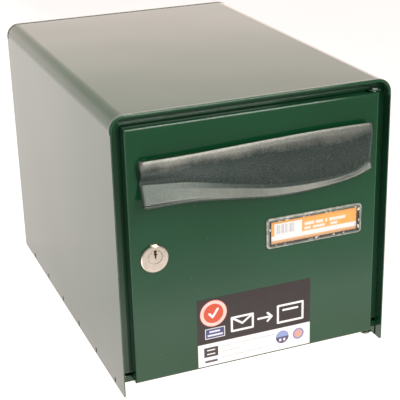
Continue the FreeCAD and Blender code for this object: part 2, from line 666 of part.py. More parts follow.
def lock_cam():
    """The locking lever. It hangs down when the lock is open."""
    x, z = plug_axis()
    hub = rod_y(x, z, CAM_WIDE / 2, CAM_Y, CAM_Y + CAM_THICK)
    arm = box(x - CAM_WIDE / 2, x + CAM_WIDE / 2, CAM_Y, CAM_Y + CAM_THICK, z - CAM_LONG, z)
    corners = edges_where(arm, lambda p: near(p.z, z - CAM_LONG))
    corners = [edge for edge in corners if edge.BoundBox.YLength > CAM_THICK / 2]
    arm = arm.makeFillet(2.0, corners)
    body = hub.fuse(arm)
    half = TANG / 2 + 0.1
    square = box(x - half, x + half, CAM_Y - OVERCUT, CAM_Y + CAM_THICK + OVERCUT, z - half, z + half)
    return body.cut(square).removeSplitter()


def cam_screw():
    x, z = plug_axis()
    end = CAM_Y + CAM_THICK
    shank = rod_y(x, z, CAM_SCREW_R, end - CAM_SCREW_LONG + 0.5, end)
    head = rod_y(x, z, CAM_SCREW_HEAD_R, end, end + CAM_SCREW_HEAD_HIGH)
    head = head.makeFillet(0.8, edges_where(head, lambda p: near(p.y, end + CAM_SCREW_HEAD_HIGH)))
    long_cut = box(x - 2.6, x + 2.6, end + 0.9, end + 2 * CAM_SCREW_HEAD_HIGH, z - 0.5, z + 0.5)
    cross = long_cut.fuse(turned_about_y(long_cut, x, z, 90))
    return shank.fuse(head).cut(cross).removeSplitter()


def write(name, shape):
    placed = shape.translated(V(0, -MIDDLE_Y, 0))
    placed.exportStep("parts/" + name + ".step")
    print(name, "solids", len(placed.Solids), "valid", placed.isValid(), "volume", round(placed.Volume, 1))


def main():
    os.makedirs("parts", exist_ok=True)
    write("shell", shell())
    write("floor_panel", floor_panel())
    frame = front_frame()
    for end, place in (("front", lambda shape: shape), ("rear", to_rear)):
        write(end + "_frame", place(frame))
        write(end + "_upper_hinge_pin", place(upper_hinge_pin()))
        write(end + "_lower_hinge_pin", place(lower_hinge_pin()))
        write(end + "_lock_body", place(lock_body()))
        write(end + "_lock_clip", place(lock_clip()))
        write(end + "_lock_plug", place(lock_plug()))
        write(end + "_lock_wafers", place(lock_wafers()))
        write(end + "_lock_cam", place(lock_cam()))
        write(end + "_cam_screw", place(cam_screw()))
    write("front_door_panel", front_door_panel())
    write("rear_door_panel", to_rear(door_tray()))
    write("letter_guard", letter_guard())
    write("flap", flap())
    write("flap_bracket_left", flap_bracket(-BRACKET_X))
    write("flap_bracket_right", flap_bracket(BRACKET_X))
    write("flap_bracket_rivets", bracket_rivets())
    write("flap_rod", flap_rod())
    write("flap_spring", flap_spring())
    write("name_holder", name_holder())
    write("name_card", name_card())
    write("holder_push_nuts", holder_push_nuts())
    write("front_label", front_label())
    rear_y = DEPTH + LOCK_FACE_THICK - MIDDLE_Y
    print("whole width", WIDTH, "front y", -FLAP_REACH - MIDDLE_Y, "rear y", rear_y)


main()
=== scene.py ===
"""Looks for a green steel letter box: materials, the wavy flap, the name window, light and camera.

Metres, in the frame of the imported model: +X right, +Y from the front door to the rear
door, +Z up, and the origin at the bottom centre.
"""

import json
import math

import bmesh
import bpy
from mathutils import Matrix, Vector


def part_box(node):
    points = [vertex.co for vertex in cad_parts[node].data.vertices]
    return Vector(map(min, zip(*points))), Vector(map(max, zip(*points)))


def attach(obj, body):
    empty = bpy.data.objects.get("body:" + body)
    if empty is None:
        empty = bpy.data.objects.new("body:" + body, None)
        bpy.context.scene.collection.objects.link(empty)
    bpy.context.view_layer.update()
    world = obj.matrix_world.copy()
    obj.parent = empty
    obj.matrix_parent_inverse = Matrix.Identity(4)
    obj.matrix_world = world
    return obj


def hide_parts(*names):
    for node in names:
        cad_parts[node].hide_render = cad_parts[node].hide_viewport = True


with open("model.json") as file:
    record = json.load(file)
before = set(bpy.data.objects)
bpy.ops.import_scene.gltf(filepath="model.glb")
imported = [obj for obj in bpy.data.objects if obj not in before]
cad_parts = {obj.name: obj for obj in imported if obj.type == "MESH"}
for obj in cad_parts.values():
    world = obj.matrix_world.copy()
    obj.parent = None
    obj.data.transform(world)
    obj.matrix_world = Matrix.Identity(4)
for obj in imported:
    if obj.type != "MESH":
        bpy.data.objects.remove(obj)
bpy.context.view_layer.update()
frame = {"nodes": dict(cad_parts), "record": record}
NODES = frame["nodes"]
MM = 0.001


# ---- node graphs -----------------------------------------------------------------
class Graph:
    """A short way to write a material's nodes."""

    def __init__(self, name):
        self.material = bpy.data.materials.new(name)
        self.material.use_nodes = True
        self.tree = self.material.node_tree
        self.tree.nodes.clear()
        self.output = self.tree.nodes.new("ShaderNodeOutputMaterial")
        self.place = self.tree.nodes.new("ShaderNodeTexCoord").outputs["Object"]

    def put(self, value, socket):
        if isinstance(value, bpy.types.NodeSocket):
            self.tree.links.new(value, socket)
        elif value is not None:
            socket.default_value = value

    def math(self, operation, first, second=None, third=None, clamp=False):
        node = self.tree.nodes.new("ShaderNodeMath")
        node.operation = operation
        node.use_clamp = clamp
        for value, socket in zip((first, second, third), node.inputs):
            self.put(value, socket)
        return node.outputs[0]

    def noise(self, scale, detail=2.0, roughness=0.5, stretch=None):
        node = self.tree.nodes.new("ShaderNodeTexNoise")
        node.inputs["Scale"].default_value = scale
        node.inputs["Detail"].default_value = detail
        node.inputs["Roughness"].default_value = roughness
        self.put(self.stretched(stretch) if stretch else self.place, node.inputs["Vector"])
        return node.outputs["Fac"]

    def stretched(self, factors):
        node = self.tree.nodes.new("ShaderNodeMapping")
        node.inputs["Scale"].default_value = factors
        self.put(self.place, node.inputs["Vector"])
        return node.outputs[0]

    def cells(self, scale):
        node = self.tree.nodes.new("ShaderNodeTexVoronoi")
        node.inputs["Scale"].default_value = scale
        self.put(self.place, node.inputs["Vector"])
        return node

    def fit(self, value, low, high, to_low=0.0, to_high=1.0):
        node = self.tree.nodes.new("ShaderNodeMapRange")
        self.put(value, node.inputs["Value"])
        for name, number in (("From Min", low), ("From Max", high), ("To Min", to_low), ("To Max", to_high)):
            node.inputs[name].default_value = number
        return node.outputs["Result"]

    def mix(self, factor, first, second, blend="MIX"):
        node = self.tree.nodes.new("ShaderNodeMix")
        node.data_type = "RGBA"
        node.blend_type = blend
        self.put(factor, node.inputs["Factor"])
        for value, socket in ((first, node.inputs[6]), (second, node.inputs[7])):
            self.put(value if isinstance(value, bpy.types.NodeSocket) else (*value, 1.0), socket)
        return node.outputs[2]

    def grey(self, value):
        """A grey colour from one number."""
        node = self.tree.nodes.new("ShaderNodeCombineColor")
        for socket in node.inputs:
            self.put(value, socket)
        return node.outputs[0]

    def channel(self, colour, index):
        node = self.tree.nodes.new("ShaderNodeSeparateColor")
        self.put(colour, node.inputs[0])
        return node.outputs[index]

    def axes(self):
        node = self.tree.nodes.new("ShaderNodeSeparateXYZ")
        self.put(self.place, node.inputs[0])
        return node.outputs

    def length(self, first, second):
        """The length of a flat vector from its two parts."""
        squares = [self.math("POWER", part, 2.0) for part in (first, second)]
        return self.math("SQRT", self.math("ADD", *squares))

    def product(self, *factors):
        whole = factors[0]
        for factor in factors[1:]:
            whole = self.math("MULTIPLY", whole, factor)
        return whole

    def box_mask(self, place, centre, half, soft=0.00015):
        """1 inside a flat rectangle of the X and Z axes, 0 outside."""
        gaps = []
        for axis, middle, reach in zip(place, centre, half):
            gap = self.math("ABSOLUTE", self.math("SUBTRACT", axis, middle))
            gaps.append(self.math("SUBTRACT", gap, reach))
        return self.fit(self.math("MAXIMUM", *gaps), -soft, soft, 1.0, 0.0)

    def disc_mask(self, place, centre, radius, soft=0.0002):
        """1 inside a flat disc of the X and Z axes, 0 outside."""
        across = self.math("SUBTRACT", place[0], centre[0])
        up = self.math("SUBTRACT", place[1], centre[1])
        away = self.length(across, up)
        return self.fit(away, radius - soft, radius + soft, 1.0, 0.0)

    def stroke_mask(self, place, start, end, half, soft=0.00015):
        """1 within half of the straight line from start to end."""
        run = (end[0] - start[0], end[1] - start[1])
        square = run[0] ** 2 + run[1] ** 2
        across = self.math("SUBTRACT", place[0], start[0])
        up = self.math("SUBTRACT", place[1], start[1])
        along = self.math("ADD", self.math("MULTIPLY", across, run[0] / square),
                          self.math("MULTIPLY", up, run[1] / square), clamp=True)
        side = self.math("SUBTRACT", across, self.math("MULTIPLY", along, run[0]))
        rise = self.math("SUBTRACT", up, self.math("MULTIPLY", along, run[1]))
        away = self.length(side, rise)
        return self.fit(away, half - soft, half + soft, 1.0, 0.0)

    def join(self, masks):
        whole = masks[0]
        for mask in masks[1:]:
            whole = self.math("MAXIMUM", whole, mask)
        return whole

    def bump(self, height, distance, strength=1.0, normal=None):
        node = self.tree.nodes.new("ShaderNodeBump")
        node.inputs["Distance"].default_value = distance
        node.inputs["Strength"].default_value = strength
        self.put(height, node.inputs["Height"])
        self.put(normal, node.inputs["Normal"])
        return node.outputs[0]

    def soft_edge(self, radius, share):
        """The normal of an edge that thick paint has rounded, where share is 1."""
        node = self.tree.nodes.new("ShaderNodeBevel")
        node.samples = 6
        node.inputs["Radius"].default_value = radius
        blend = self.tree.nodes.new("ShaderNodeMix")
        blend.data_type = "VECTOR"
        self.put(share, blend.inputs["Factor"])
        own = self.tree.nodes.new("ShaderNodeNewGeometry").outputs["Normal"]
        self.tree.links.new(own, blend.inputs[4])
        self.tree.links.new(node.outputs[0], blend.inputs[5])
        return blend.outputs[1]

    def edges(self, rounded, start=0.015, full=0.16):
        """1 where a rounded normal leaves the surface's own, 0 on flat sheet."""
        own = self.tree.nodes.new("ShaderNodeNewGeometry").outputs["Normal"]
        node = self.tree.nodes.new("ShaderNodeVectorMath")
        node.operation = "DOT_PRODUCT"
        self.put(rounded, node.inputs[0])
        self.put(own, node.inputs[1])
        return self.fit(node.outputs["Value"], 1.0 - start, 1.0 - full)

    def upward(self, low, high):
        """1 where the surface faces up, 0 where it is upright."""
        node = self.tree.nodes.new("ShaderNodeSeparateXYZ")
        self.put(self.tree.nodes.new("ShaderNodeTexCoord").outputs["Normal"], node.inputs[0])
        return self.fit(node.outputs[2], low, high)

    def surface(self, **values):
        """Ends the graph in one Principled shader. Sockets are named with _ for a space."""
        shader = self.tree.nodes.new("ShaderNodeBsdfPrincipled")
        for name, value in values.items():
            if isinstance(value, tuple) and len(value) == 3:
                value = (*value, 1.0)
            self.put(value, shader.inputs[name.replace("_", " ")])
        self.tree.links.new(shader.outputs[0], self.output.inputs[0])
        return self.material


# ---- materials -------------------------------------------------------------------
GREEN_DEEP = (0.0055, 0.055, 0.0200)
GREEN_LIGHT = (0.0068, 0.067, 0.0260)
DUST = (0.30, 0.36, 0.30)
PAINTED_EDGE_HIGHLIGHT = (0.34, 0.40, 0.34)     # painted highlight: a pale colour over sharp edges in place of the light they catch


def green_paint():
    """Glossy enamel on sheet steel: faint waves, orange peel, dust specks, and a painted highlight along
    sharp edges.
    """
    graph = Graph("green_paint")
    cloud = graph.fit(graph.noise(6.0, 3.0), 0.35, 0.65)
    colour = graph.mix(cloud, GREEN_DEEP, GREEN_LIGHT)
    fleck = graph.fit(graph.noise(2600.0, 1.0), 0.40, 0.60, 0.88, 1.12)
    colour = graph.mix(1.0, colour, graph.grey(fleck), "MULTIPLY")
    dust = graph.cells(170.0)
    dot = graph.fit(dust.outputs["Distance"], 0.05, 0.09, 1.0, 0.0)
    picked = graph.math("GREATER_THAN", graph.channel(dust.outputs["Color"], 0), 0.94)
    colour = graph.mix(graph.product(dot, picked, 0.45), colour, DUST)
    above_slots = graph.fit(graph.axes()[2], 0.008, 0.012)
    edge = graph.soft_edge(0.0009, above_slots)
    # painted highlight: paler colour where the rounded edge normal leaves the sheet's own
    painted_edge_highlight = graph.math("MULTIPLY", graph.edges(edge), graph.fit(graph.noise(40.0, 2.0), 0.3, 0.7, 0.20, 0.60))
    colour = graph.mix(painted_edge_highlight, colour, PAINTED_EDGE_HIGHLIGHT)
    peel = graph.bump(graph.noise(420.0, 2.0), 0.00006, 0.5, edge)
    wave = graph.bump(graph.noise(5.0, 1.0), 0.0016, 0.6, edge)
    both = graph.bump(graph.noise(420.0, 2.0), 0.00005, 0.5, wave)
    rough = graph.fit(graph.noise(9.0, 4.0), 0.3, 0.7, 0.30, 0.40)
    return graph.surface(Base_Color=colour, Roughness=rough, Normal=peel, Coat_Weight=1.0,
                         Coat_Roughness=0.07, Coat_IOR=1.5, Specular_IOR_Level=0.0, Coat_Normal=both)


FLAP_HALF = 120.0
FLAP_TOPS = (246.4, 250.4)          # the flap's top edge at its left and right ends


def metallic_plastic():
    """Moulded plastic with a metallic grey finish and a fine sand grain, a painted highlight along its top
    and painted light on faces that turn up.
    """
    graph = Graph("flap_finish")
    across, _, up = graph.axes()
    grain = graph.noise(1150.0, 3.0, 0.65)
    cloud = graph.fit(graph.noise(34.0, 3.0), 0.3, 0.7)
    colour = graph.mix(cloud, (0.022, 0.042, 0.036), (0.036, 0.057, 0.049))
    colour = graph.mix(graph.fit(grain, 0.42, 0.68), colour, (0.11, 0.125, 0.114))
    slope = (FLAP_TOPS[1] - FLAP_TOPS[0]) / (2 * FLAP_HALF)
    top = graph.math("ADD", graph.math("MULTIPLY", across, slope), sum(FLAP_TOPS) / 2 * MM)
    # painted highlight: a paler band along the top edge, where the rounded top would catch the overhead
    # light
    below = graph.math("SUBTRACT", top, up)
    drift = graph.fit(graph.noise(22.0, 4.0, 0.6), 0.35, 0.68, -0.004, 0.006)
    painted_top_sheen = graph.fit(graph.math("SUBTRACT", below, drift), 0.0035, 0.0135, 1.0, 0.0)
    painted_top_sheen = graph.math("MULTIPLY", painted_top_sheen, graph.fit(across, -0.10, 0.12, 1.0, 0.5))
    painted_top_sheen = graph.math("MULTIPLY", painted_top_sheen, graph.fit(grain, 0.36, 0.60, 0.45, 1.0))
    colour = graph.mix(painted_top_sheen, colour, (0.33, 0.325, 0.29))
    # painted light: faces that turn up are made paler, as if lit from above
    painted_up_light = graph.math("MULTIPLY", graph.upward(0.18, 0.60), graph.fit(across, -0.11, 0.05, 0.40, 0.78))
    painted_up_light = graph.math("MULTIPLY", painted_up_light, graph.fit(graph.noise(160.0, 3.0), 0.3, 0.7, 0.75, 1.1))
    colour = graph.mix(painted_up_light, colour, (0.150, 0.150, 0.134))
    rough = graph.fit(grain, 0.3, 0.7, 0.28, 0.40)
    normal = graph.bump(grain, 0.00022, 0.55)
    return graph.surface(Base_Color=colour, Metallic=0.72, Roughness=rough, Normal=normal)


def nickel():
    """Polished nickel plate with fine scratches."""
    graph = Graph("lock_nickel")
    scratch = graph.noise(600.0, 4.0, 0.7, (1.0, 1.0, 0.06))
    stain = graph.fit(graph.noise(160.0, 3.0), 0.35, 0.7)
    colour = graph.mix(stain, (0.80, 0.70, 0.60), (0.70, 0.61, 0.51))
    rough = graph.fit(scratch, 0.3, 0.7, 0.16, 0.30)
    normal = graph.bump(scratch, 0.00003, 0.4)
    return graph.surface(Base_Color=colour, Metallic=1.0, Roughness=rough, Normal=normal)


def plated_steel(name, tint, scale):
    """Zinc-plated or bare spring steel, drawn along Z."""
    graph = Graph(name)
    drawn = graph.noise(scale, 4.0, 0.7, (1.0, 1.0, 0.08))
    spangle = graph.fit(graph.noise(240.0, 2.0), 0.3, 0.7, 0.82, 1.08)
    shade = tuple(0.75 * part for part in tint)
    colour = graph.mix(1.0, graph.mix(drawn, tint, shade), graph.grey(spangle), "MULTIPLY")
    rough = graph.fit(drawn, 0.3, 0.7, 0.26, 0.42)
    normal = graph.bump(drawn, 0.00004, 0.5)
    return graph.surface(Base_Color=colour, Metallic=1.0, Roughness=rough, Normal=normal)


HOLDER_R = 3.5                      # the name window's outer corners


def clear_plastic():
    """The window's thin pane, faintly scuffed."""
    graph = Graph("clear_plastic")
    scuff = graph.noise(500.0, 4.0, 0.7, (1.0, 1.0, 0.2))
    rough = graph.fit(scuff, 0.45, 0.75, 0.04, 0.20)
    tint = graph.mix(graph.fit(graph.noise(60.0), 0.3, 0.7), (0.97, 0.98, 0.96), (0.93, 0.95, 0.93))
    normal = graph.bump(scuff, 0.00002, 0.3)
    return graph.surface(Base_Color=tint, Roughness=rough, Alpha=0.035, Normal=normal)


def window_edge():
    """The cover's solid edge: a painted highlight at its rim, and painted shade with painted glints beside
    the card.
    """
    graph = Graph("clear_plastic_edge")
    low, high = (Vector(corner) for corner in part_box("name_holder"))
    radius = HOLDER_R * MM
    gaps = []
    for axis, small, large in ((graph.axes()[0], low.x, high.x), (graph.axes()[2], low.z, high.z)):
        off = graph.math("ABSOLUTE", graph.math("SUBTRACT", axis, (small + large) / 2))
        gaps.append(graph.math("SUBTRACT", off, (large - small) / 2 - radius))
    corner = graph.length(*[graph.math("MAXIMUM", gap, 0.0) for gap in gaps])
    straight = graph.math("MINIMUM", graph.math("MAXIMUM", *gaps), 0.0)
    depth = graph.math("SUBTRACT", radius, graph.math("ADD", corner, straight))
    patch = graph.noise(210.0, 3.0, 0.6)
    # painted highlight: a pale band along the rim
    pale = graph.mix(graph.fit(patch, 0.38, 0.66), (0.36, 0.36, 0.31), (0.80, 0.77, 0.70))
    body = graph.mix(graph.fit(patch, 0.3, 0.7), (0.11, 0.15, 0.12), (0.26, 0.28, 0.24))
    glint = graph.fit(graph.noise(260.0, 2.0, 0.5), 0.60, 0.64)
    # painted shade beside the card, flecked with painted glints
    dark = graph.mix(glint, (0.030, 0.019, 0.016), (0.80, 0.74, 0.68))
    colour = graph.mix(graph.fit(depth, 0.0007, 0.0011), pale, body)
    colour = graph.mix(graph.fit(depth, 0.0024, 0.0027), colour, dark)
    return graph.surface(Base_Color=colour, Roughness=graph.fit(patch, 0.3, 0.7, 0.10, 0.22), IOR=1.49,
                         Normal=graph.bump(patch, 0.0001, 0.4))


ORANGE = (0.95, 0.43, 0.065)
PAPER_WHITE = (0.90, 0.90, 0.89)
PRINT_GREY = (0.52, 0.50, 0.51)
LABEL_BROWN = (0.022, 0.014, 0.013)
BADGE_RED = (0.66, 0.085, 0.030)
BADGE_PINK = (0.90, 0.62, 0.56)
BLUE = (0.060, 0.070, 0.20)
PALE_BLUE = (0.75, 0.76, 0.86)
# The card's bar pattern: the width of each bar and of the gap after it, in millimetres.
CARD_STRIPES = ((2.2, 0.5), (1.2, 0.9), (0.6, 0.5), (2.4, 1.1), (1.6, 0.5), (0.6, 1.2), (0.7, 0.5),
                (2.2, 0.6), (1.6, 0.5))


def printed_paper(graph, colour, gloss):
    """Paper with a faint fibre under its print, more or less coated."""
    fibre = graph.noise(2400.0, 3.0, 0.6, (1.0, 1.0, 0.5))
    colour = graph.mix(1.0, colour, graph.grey(graph.fit(fibre, 0.3, 0.7, 0.95, 1.04)), "MULTIPLY")
    rough = graph.fit(graph.noise(90.0, 3.0), 0.3, 0.7, gloss, gloss + 0.12)
    return graph.surface(Base_Color=colour, Roughness=rough, Normal=graph.bump(fibre, 0.00003, 0.4))


def card_print():
    """An orange card with a bar pattern and plain bars for the words."""
    graph = Graph("card")
    low, high = (Vector(corner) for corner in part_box("name_card"))
    place = graph.axes()[0], graph.axes()[2]

    def bar(left, right, bottom, top):
        centre = (low.x + (left + right) / 2 * MM, low.z + (bottom + top) / 2 * MM)
        return graph.box_mask(place, centre, ((right - left) / 2 * MM, (top - bottom) / 2 * MM))

    wide = (high.x - low.x) / MM
    colour = graph.mix(bar(-1, wide + 1, -1, 3.2), ORANGE, (0.93, 0.50, 0.22))
    white = graph.join([bar(-1, wide + 1, 3.2, 8.2), bar(3.9, 34.3, 6.0, 21.0)])
    words = [bar(*ends, 14.0, 17.4) for ends in ((37, 48), (49.5, 58), (60, 62.5), (64.5, 83))]
    words += [bar(*ends, 9.6, 12.4) for ends in ((37, 44), (46.5, 60), (66, 74))]
    colour = graph.mix(white, colour, PAPER_WHITE)
    colour = graph.mix(graph.math("MULTIPLY", graph.join(words), 0.8), colour, PAPER_WHITE)
    stripes = []
    left = 6.4
    for width, gap in CARD_STRIPES:
        stripes.append(bar(left, left + width, 10.0, 19.6))
        left += width + gap
    colour = graph.mix(graph.math("MULTIPLY", graph.join(stripes), 0.75), colour, PRINT_GREY)
    return printed_paper(graph, colour, 0.35)


def label_print():
    """A coated label, dark over white, with plain shapes in place of any words or marks."""
    graph = Graph("label_paper")
    low, high = (Vector(corner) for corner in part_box("front_label"))
    place = graph.axes()[0], graph.axes()[2]

    def at(across, up):
        return low.x + across * MM, low.z + up * MM

    def bar(left, right, bottom, top):
        return graph.box_mask(place, at((left + right) / 2, (bottom + top) / 2),
                              ((right - left) / 2 * MM, (top - bottom) / 2 * MM))

    def stroke(x0, z0, x1, z1, half=1.15):
        return graph.stroke_mask(place, at(x0, z0), at(x1, z1), half * MM)

    def disc(across, up, radius):
        return graph.disc_mask(place, at(across, up), radius * MM)

    wide = (high.x - low.x) / MM
    colour = graph.mix(bar(-1, wide + 1, -1, 25.0), LABEL_BROWN, PAPER_WHITE)
    # round badge
    colour = graph.mix(disc(17.4, 58.0, 14.6), colour, BADGE_RED)
    colour = graph.mix(disc(17.4, 58.0, 14.1), colour, BADGE_PINK)
    colour = graph.mix(disc(17.4, 58.0, 10.6), colour, BADGE_RED)
    tick = graph.join([stroke(13.0, 58.0, 16.3, 54.0, 1.2), stroke(16.3, 54.0, 22.0, 62.2, 1.2)])
    colour = graph.mix(tick, colour, PAPER_WHITE)
    # small plate under the badge
    colour = graph.mix(bar(8.0, 29.4, 30.2, 41.6), colour, PAPER_WHITE)
    colour = graph.mix(bar(8.7, 28.7, 30.9, 40.9), colour, BLUE)
    words = graph.join([bar(12.6, 24.0, 36.8, 38.8), bar(10.6, 27.0, 32.8, 34.8)])
    colour = graph.mix(words, colour, PALE_BLUE)
    # a letter, an arrow and a box, in white line
    lines = [stroke(37, 33.5, 60, 33.5), stroke(37, 48.5, 60, 48.5), stroke(37, 33.5, 37, 48.5),
             stroke(60, 33.5, 60, 48.5), stroke(37, 48.5, 48.5, 40.5), stroke(60, 48.5, 48.5, 40.5)]
    lines += [stroke(66, 41, 81, 41), stroke(76.5, 45.5, 81, 41), stroke(76.5, 36.5, 81, 41)]
    lines += [stroke(88, 31.5, 116, 31.5), stroke(88, 31.5, 88, 50.5), stroke(116, 31.5, 116, 50.5),
              stroke(88, 50.5, 116, 50.5), stroke(94, 45.0, 110, 45.0)]
    colour = graph.mix(graph.join(lines), colour, PAPER_WHITE)
    # the white strip
    colour = graph.mix(bar(6.4, 21.6, 9.8, 20.6), colour, (0.045, 0.035, 0.035))
    stripes = graph.join([bar(9.6, 18.4, 12.4, 13.6), bar(9.6, 18.4, 16.8, 18.0)])
    colour = graph.mix(stripes, colour, PAPER_WHITE)
    colour = graph.mix(bar(7.4, 20.8, 3.4, 6.0), colour, (0.10, 0.09, 0.09))
    words = [bar(*ends, 18.6, 19.8) for ends in ((26, 37), (38.5, 43), (44.5, 46), (47.5, 65), (66.5, 84))]
    words += [bar(*ends, 12.4, 13.6) for ends in ((26, 32), (33.5, 45))]
    words += [bar(*ends, 6.2, 7.4) for ends in ((26, 37), (38.5, 50), (51.5, 62), (65, 72))]
    colour = graph.mix(graph.math("MULTIPLY", graph.join(words), 0.7), colour, PRINT_GREY)
    colour = graph.mix(disc(93.0, 14.2, 7.2), colour, (0.09, 0.075, 0.14))
    upper = graph.math("MULTIPLY", disc(93.0, 14.2, 6.8), bar(80, 106, 14.6, 26))
    colour = graph.mix(upper, colour, (0.28, 0.36, 0.66))
    squares = graph.join([bar(89.5, 92.0, 9.6, 12.6), bar(94.0, 96.5, 9.6, 12.6)])
    colour = graph.mix(squares, colour, PALE_BLUE)
    colour = graph.mix(disc(111.3, 14.2, 6.4), colour, (0.24, 0.27, 0.50))
    colour = graph.mix(disc(111.3, 14.2, 4.6), colour, (0.70, 0.36, 0.30))
    return printed_paper(graph, colour, 0.28)


PAINT = green_paint()
FLAP_FINISH = metallic_plastic()
NICKEL = nickel()
ZINC = plated_steel("zinc_steel", (0.60, 0.60, 0.57), 900.0)
SPRING = plated_steel("spring_steel", (0.40, 0.40, 0.41), 1400.0)
BRASS = plated_steel("brass", (0.72, 0.53, 0.22), 1100.0)
CLEAR = clear_plastic()
WINDOW_EDGE = window_edge()
BY_SLOT = {
    "green_paint": PAINT, "flap_finish": FLAP_FINISH, "lock_nickel": NICKEL, "zinc_steel": ZINC,
    "spring_steel": SPRING, "brass": BRASS, "clear_plastic": CLEAR, "card": card_print(),
    "label_paper": label_print(),
}


def paint_frame():
    for part in frame["record"]["subparts"]:
        node = NODES[part["node"]]
        node.data.materials.clear()
        node.data.materials.append(BY_SLOT[part["material_slot"]])


paint_frame()

# ---- the wavy flap ---------------------------------------------------------------
# Millimetres, with reach measured out of the door: at each place along the width, the
# top edge's height, then height and reach of the crease, the lip's shoulder, the lower
# end of its face and its rim.
FLAP_STATIONS = (
    (-120.0, 246.4, (222.4, 3.6), (218.5, 5.8), (206.0, 12.6), (202.2, 15.0)),
    (-75.0, 246.6, (219.2, 4.6), (213.6, 6.9), (205.2, 12.6), (201.6, 14.4)),
    (-30.0, 248.0, (210.5, 5.6), (205.7, 6.9), (199.8, 12.2), (196.6, 13.4)),
    (15.0, 249.4, (203.0, 6.6), (198.7, 7.5), (194.0, 11.8), (191.4, 12.6)),
    (60.0, 250.4, (200.4, 7.2), (197.1, 7.9), (193.6, 11.4), (191.8, 11.8)),
    (100.0, 250.4, (203.4, 7.4), (200.8, 8.0), (198.2, 10.9), (196.8, 11.2)),
    (120.0, 250.0, (212.4, 7.2), (209.4, 8.0), (204.5, 10.6), (203.2, 10.8)),
)
FLAP_FRONT = 9.6
FLAP_WALL = 1.6
FLAP_REACH = 14.95
FLAP_AXIS = (5.0, 242.0)     # reach and height of the rod
FLAP_CORNER_R = 3.0
FLAP_CLEAR = 0.6             # least reach of the flap's inner side
CHEEK_THICK = 2.3
CHEEK_INSET = 0.35
CHEEK_ROUND_R = 4.1          # about the rod's end
FLAP_COLUMNS = 120
BODY_STEPS = 6
FACET_STEPS = 3
FACE_STEPS = 4
DOOR_FACE_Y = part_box("front_door_panel")[0][1]


def smooth_value(places, values, x):
    """A smooth curve through values at places, level with its neighbours at each one."""
    last = len(places) - 1
    index = max(i for i in range(last) if x >= places[i] or i == 0)

    def slope(i):
        low, high = max(i - 1, 0), min(i + 1, last)
        return (values[high] - values[low]) / (places[high] - places[low])

    span = places[index + 1] - places[index]
    t = (x - places[index]) / span
    start, end = values[index], values[index + 1]
    return (start * (1 + 2 * t) * (1 - t) ** 2 + end * t * t * (3 - 2 * t)
            + span * (slope(index) * t * (1 - t) ** 2 - slope(index + 1) * t * t * (1 - t)))


def spline_points(points, steps):
    """Catmull-Rom points through a short list of (reach, height) points."""
    found = []
    padded = [points[0]] + list(points) + [points[-1]]
    for index in range(1, len(padded) - 2):
        before, start, end, after = (Vector(point) for point in padded[index - 1:index + 3])
        for step in range(steps):
            t = step / steps
            pull = 2 * before - 5 * start + 4 * end - after
            curl = 3 * start - before - 3 * end + after
            found.append(0.5 * (2 * start + (end - before) * t + pull * t * t + curl * t ** 3))
    found.append(Vector(points[-1]))
    return found


def flap_line(x):
    """The flap's outer line at one place along its width, as (reach, height) points."""
    places = [station[0] for station in FLAP_STATIONS]

    def read(pick):
        return smooth_value(places, [pick(station) for station in FLAP_STATIONS], x)

    past = max(abs(x) - (FLAP_HALF - FLAP_CORNER_R), 0.0)
    drop = FLAP_CORNER_R - math.sqrt(FLAP_CORNER_R ** 2 - min(past, FLAP_CORNER_R) ** 2)
    top = read(lambda station: station[1]) - 0.8 * drop
    front = FLAP_FRONT - 0.3 * drop
    lines = [[read(lambda station: station[row][0]), read(lambda station: station[row][1]) - 0.3 * drop]
             for row in (2, 3, 4, 5)]
    lines[3][0] += 0.5 * drop
    lines[2][0] += 0.2 * drop
    crease_z, crease = lines[0]
    front_z = top - 9.0
    body = [(front - 3.3, top - 0.5), (front - 2.5, top - 0.05), (front - 1.5, top - 1.3),
            (front - 0.7, top - 4.2), (front, front_z)]
    for share, pull in ((0.25, 0.16), (0.5, 0.5), (0.75, 0.84)):
        body.append((front + pull * (crease - front), front_z + share * (crease_z - front_z)))
    body.append((crease, crease_z))
    (lower_z, lower), (rim_z, rim) = lines[2:]
    roll = 0.5 * (lower_z - rim_z)
    shoulder_z, shoulder = lines[1]
    facet = [(crease, crease_z), ((crease + shoulder) / 2, (crease_z + shoulder_z) / 2),
             (shoulder, shoulder_z)]
    face = [(shoulder, shoulder_z), ((shoulder + lower) / 2, (shoulder_z + lower_z) / 2), (lower, lower_z),
            (rim - 0.15, rim_z + 1.15 * roll), (rim - 0.1 * roll, rim_z + 0.45 * roll),
            (rim - 0.55 * roll, rim_z), (rim - 1.2 * roll - 0.3, rim_z - 0.1)]
    line = spline_points(body, BODY_STEPS)[:-1] + spline_points(facet, FACET_STEPS)[:-1]
    line += spline_points(face, FACE_STEPS)
    for point in line:
        point.x = min(point.x, FLAP_REACH)
    return line


def flap_ring(x):
    """The closed section: the outer line down, round the rim and up the inner side."""
    outer = flap_line(x)
    inner = []
    for index, point in enumerate(outer):
        along = (outer[min(index + 1, len(outer) - 1)] - outer[max(index - 1, 0)]).normalized()
        inner.append(point - Vector((-along.y, along.x)) * FLAP_WALL)
    for point in inner:
        point.x = max(point.x, FLAP_CLEAR)
    return outer + inner[::-1]


def finish_mesh(name, bm, material, smooth=True):
    bmesh.ops.recalc_face_normals(bm, faces=bm.faces)
    mesh = bpy.data.meshes.new(name)
    bm.to_mesh(mesh)
    bm.free()
    for face in mesh.polygons:
        face.use_smooth = smooth
    mesh.materials.append(material)
    piece = bpy.data.objects.new(name, mesh)
    bpy.context.scene.collection.objects.link(piece)
    return piece


def sharpen(piece, degrees):
    """Marks the edges that turn more than an angle as sharp."""
    bm = bmesh.new()
    bm.from_mesh(piece.data)
    for edge in bm.edges:
        if len(edge.link_faces) == 2 and edge.calc_face_angle() > math.radians(degrees):
            edge.smooth = False
    bm.to_mesh(piece.data)
    bm.free()


